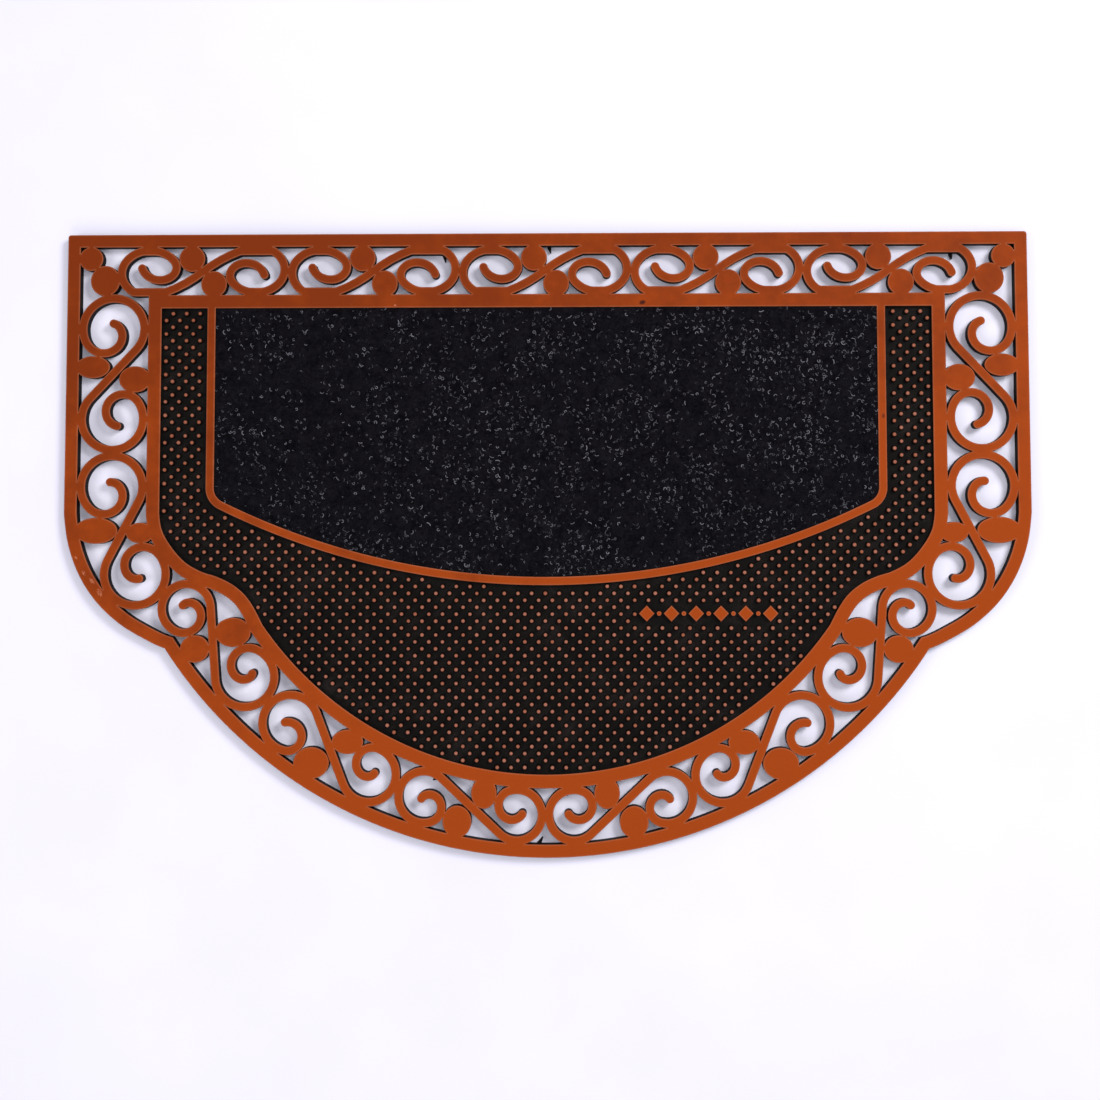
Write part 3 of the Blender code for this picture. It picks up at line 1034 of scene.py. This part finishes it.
def carpetMesh(name):
    # A closed slab: flat underneath, its felted top a little uneven
    outline = carpetOutline()
    points = list(outline)
    step = carpet["gridStep"]
    low = min(p.y for p in outline)
    inner = BVHTree.FromPolygons([Vector((p.x, p.y, 0)) for p in shifted(outline, step / 3, True)],
                                 [tuple(range(len(outline)))])
    for i in range(-math.ceil(rib["halfWidth"] / step), math.ceil(rib["halfWidth"] / step) + 1):
        for k in range(math.ceil((field["top"] - low) / step)):
            spot = Vector((i * step, low + k * step, 1))
            if inner.ray_cast(spot, Vector((0, 0, -1)))[2] is not None:
                points.append(spot.xy)
    count = len(outline)
    edges = [(i, (i + 1) % count) for i in range(count)]
    result = delaunay_2d_cdt(points, edges, [], 1, fineness["mergeDistance"])
    mesh = bmesh.new()
    tops = []
    backs = []
    for p in result[0]:
        wave = noise.noise(Vector((p.x, p.y, 0)) / carpet["unevenSize"])
        tops.append(mesh.verts.new(inSpace(p.x, p.y, carpet["feltTop"] + carpet["unevenness"] * wave)))
        backs.append(mesh.verts.new(inSpace(p.x, p.y, carpet["backHeight"])))
    for triangle in result[2]:
        mesh.faces.new([tops[i] for i in triangle])
        mesh.faces.new([backs[i] for i in reversed(triangle)])
    rim = [edge for edge in mesh.edges if edge.is_boundary and edge.verts[0] in set(tops)]
    pair = dict(zip(tops, backs))
    for edge in rim:
        loop = edge.link_loops[0]
        a, b = loop.vert, loop.link_loop_next.vert
        mesh.faces.new([b, a, pair[a], pair[b]])
    print("carpet:", len(mesh.faces), "faces,",
          sum(not edge.is_manifold for edge in mesh.edges), "open edges")
    return finishedMesh(name, mesh, 40)


def feltMaterial():
    material, graph, shader = newMaterial("black needled felt", {
        "Metallic": 0.0, "Specular IOR Level": 0.02})
    place = graph.node("ShaderNodeTexCoord", out="Object")
    lint = graph.noise(place, 420.0, 4.0, 0.7, 1.2)
    tuft = graph.noise(place, 120.0, 3.0, 0.6, 0.6)
    curl = graph.noise(place, 260.0, 1.0, 0.4, 2.5)
    patch = graph.noise(place, 90.0, 2.0, 0.6)
    # Thin level lines of a noise look like short curly fibres that lie deep in the felt
    thread = 1 - graph.smooth((curl - 0.5).math("ABSOLUTE"), 0.004, 0.014)
    thread = thread * graph.smooth(patch, 0.52, 0.62)
    colour = graph.mixColour(graph.smooth(lint * 0.6 + tuft * 0.4, 0.35, 0.68),
                             carpetTones["feltDark"], carpetTones["feltPale"])
    colour = graph.mixColour(thread * 0.6, colour, carpetTones["thread"])
    bump = graph.node("ShaderNodeBump", None, {
        "Strength": 0.8, "Distance": 0.0008, "Height": lint * 0.5 + tuft * 0.5 + thread * 0.3}, "Normal")
    feed(graph, shader, {"Base Color": colour, "Roughness": 0.86 + 0.12 * lint, "Normal": bump})
    return material


def fibreMaterial(name, dark, pale):
    material, graph, shader = newMaterial(name, {
        "Metallic": 0.0, "Specular IOR Level": 0.04})
    tone = graph.attribute("fibreTone")
    place = graph.node("ShaderNodeTexCoord", out="Object")
    along = graph.noise(place, 800.0, 2.0)
    feed(graph, shader, {
        "Base Color": graph.mixColour(tone * 0.8 + along * 0.2, dark, pale),
        "Roughness": 0.55 + 0.25 * along,
    })
    return material


def fibreTree(inputs):
    graph, given = newTree("looseFibres", inputs)
    ground = graph.node("GeometryNodeObjectInfo", None, {"Object": given["Ground"]}, "Geometry")
    normal = graph.node("ShaderNodeSeparateXYZ", None, {0: graph.node("GeometryNodeInputNormal")})
    place = graph.node("GeometryNodeInputPosition")
    patch = graph.noise(place, fibreSpread["patchScale"], 2.0, 0.6)
    patch = graph.smooth(patch, fibreSpread["patchLow"], fibreSpread["patchHigh"])
    east = graph.node("ShaderNodeSeparateXYZ", None, {0: place})
    drift = 1 + given["Drift"] * east * fibreSpread["driftGain"]
    crowd = (1 - given["Clump"] + given["Clump"] * patch * fibreSpread["patchGain"]) * drift
    points = graph.node("GeometryNodeDistributePointsOnFaces", None, {
        "Mesh": ground, "Selection": normal.other("Z") > 0.9,
        "Density": given["Density"] * crowd, "Seed": given["Seed"]})
    lifted = graph.node("GeometryNodeSetPosition", None, {
        "Geometry": points, "Offset": graph.vector(0.0, 0.0, given["Lift"])})
    profile = graph.node("GeometryNodeCurvePrimitiveCircle", None, {
        "Resolution": 3, "Radius": given["Thickness"]})
    kinds = []
    for curl in fibreShapes:
        line = graph.node("GeometryNodeCurveSpiral", None, {
            "Resolution": curl.pieces, "Rotations": curl.turns, "Start Radius": curl.start * mm,
            "End Radius": curl.end * mm, "Height": curl.rise * mm})
        tube = graph.node("GeometryNodeCurveToMesh", None, {
            "Curve": line, "Profile Curve": profile, "Fill Caps": True})
        kinds.append(graph.node("GeometryNodeGeometryToInstance", None, {0: tube}))
    shapes = graph.node("GeometryNodeJoinGeometry", None, {0: kinds})
    turn = graph.node("FunctionNodeRandomValue", {"data_type": "FLOAT_VECTOR"}, {
        0: (-fibreSpread["lean"], -fibreSpread["lean"], 0.0),
        1: (fibreSpread["lean"], fibreSpread["lean"], fullTurn), "Seed": given["Seed"] + 1}, 0)
    size = graph.node("FunctionNodeRandomValue", {"data_type": "FLOAT"}, {
        2: fibreSpread["smallest"], 3: fibreSpread["largest"], "Seed": given["Seed"] + 2}, 1)
    which = graph.node("FunctionNodeRandomValue", {"data_type": "INT"}, {
        4: 0, 5: len(kinds) - 1, "Seed": given["Seed"] + 3}, 2)
    many = graph.node("GeometryNodeInstanceOnPoints", None, {
        "Points": lifted, "Instance": shapes, "Pick Instance": True, "Instance Index": which,
        "Rotation": turn, "Scale": size})
    tone = graph.node("FunctionNodeRandomValue", {"data_type": "FLOAT"}, {
        2: 0.0, 3: 1.0, "Seed": given["Seed"] + 4}, 1)
    marked = graph.node("GeometryNodeStoreNamedAttribute", {"data_type": "FLOAT", "domain": "INSTANCE"}, {
        "Geometry": many, "Name": "fibreTone", "Value": tone * tone})
    endTree(graph, marked, given["Material"])
    return graph.tree


def buildFibres(name, ground, material, sizes):
    inputs = {
        "Ground": ground,
        "Material": material,
        "Density": sizes["density"],
        "Thickness": sizes["thickness"] * mm,
        "Lift": fibreSpread["lift"] * mm,
        "Clump": sizes["clump"],
        "Drift": sizes["drift"],
        "Seed": sizes["seed"],
    }
    return grow(name, fibreTree(inputs), inputs)


# Studio

studio = {
    "floorSize": 14.0,
    "floorDrop": 0.0002,
    "floorDark": (0.78, 0.75, 0.88, 1.0),
    "floorPale": (0.85, 0.83, 0.95, 1.0),
    "sky": (0.93, 0.95, 1.0, 1.0),
    "cameraPlace": (0.0238, 0.0144, 1.14),
    "cameraTurn": (3.360, 1.028, -0.063),
    "focalPixels": 1564.6,
    "framePixels": 1100,
    "sensor": 36.0,
    "shiftPixels": -120,
    "ambient": 0.34,
}

lights = (
    Light("overhead", 60, 0.4, 2.3, 1.6, 13.0),
    Light("softboxRight", 40, 1.5, 1.6, 0.8, 30.0),
    Light("softboxLeft", 190, 1.7, 1.5, 1.3, 14.0),
    Light("softboxFront", 265, 1.7, 1.5, 1.3, 9.5),
)


def floorMaterial():
    material, graph, shader = newMaterial("white paper", {"Metallic": 0.0, "Specular IOR Level": 0.1})
    place = graph.node("ShaderNodeTexCoord", out="Object")
    cloud = graph.noise(place, 9.0, 2.0, 0.5)
    feed(graph, shader, {
        "Base Color": graph.mixColour(cloud, studio["floorDark"], studio["floorPale"]),
        "Roughness": 0.85 + 0.1 * cloud,
    })
    return material


def buildFloor():
    half = studio["floorSize"] / 2
    mesh = bmesh.new()
    mesh.faces.new([mesh.verts.new((x * half, y * half, 0)) for x, y in ((-1, -1), (1, -1), (1, 1), (-1, 1))])
    floor = addObject("floor", finishedMesh("floor", mesh, 40), floorMaterial())
    floor.location.z = -studio["floorDrop"]


def softLight(light):
    # A round softbox that faces the middle of the mat
    data = bpy.data.lights.new(light.name, "AREA")
    data.shape = "DISK"
    data.size = light.size
    data.energy = light.power
    item = bpy.data.objects.new(light.name, data)
    place = Vector((*(light.reach * heading(light.turn)), light.height))
    item.location = place
    item.rotation_euler = (-place).to_track_quat("-Z", "Y").to_euler()
    bpy.context.scene.collection.objects.link(item)


def buildStudio():
    buildFloor()
    for light in lights:
        softLight(light)
    world = bpy.data.worlds.new("studio")
    bpy.context.scene.world = world
    world.use_nodes = True
    background = world.node_tree.nodes["Background"]
    background.inputs["Color"].default_value = studio["sky"]
    background.inputs["Strength"].default_value = studio["ambient"]
    bpy.context.scene.view_settings.view_transform = "Standard"
    camera = bpy.data.cameras.new("camera")
    camera.sensor_width = studio["sensor"]
    camera.lens = studio["focalPixels"] / studio["framePixels"] * studio["sensor"]
    camera.shift_y = studio["shiftPixels"] / studio["framePixels"]
    item = bpy.data.objects.new("camera", camera)
    item.location = studio["cameraPlace"]
    item.rotation_euler = [math.radians(turn) for turn in studio["cameraTurn"]]
    bpy.context.scene.collection.objects.link(item)
    bpy.context.scene.camera = item


# Building

print("rubber mat")
rubberMat = addObject("rubberMat", rubberMesh("rubberMat"),
                      paintedRubber("painted rubber", railPaint, railDress))
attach(rubberMat, "root")
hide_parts("rubber_mat")

print("studs")
fieldStuds = buildStuds(paintedRubber("painted studs", studPaint, studDress))
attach(fieldStuds, "root")

print("carpet")
carpetPanel = addObject("carpetPanel", carpetMesh("carpetPanel"), feltMaterial())
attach(carpetPanel, "root")
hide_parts("carpet_insert")

blackMaterial = fibreMaterial("black fibre", carpetTones["blackDark"], carpetTones["blackPale"])
greyMaterial = fibreMaterial("grey fibre", carpetTones["greyDark"], carpetTones["greyPale"])
carpetBlack = buildFibres("carpetBlackFibres", carpetPanel, blackMaterial, blackFibres)
carpetGrey = buildFibres("carpetGreyFibres", carpetPanel, greyMaterial, greyFibres)
for pile in (carpetBlack, carpetGrey):
    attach(pile, "root")
planArea(carpetOutline())

print("studio")
buildStudio()
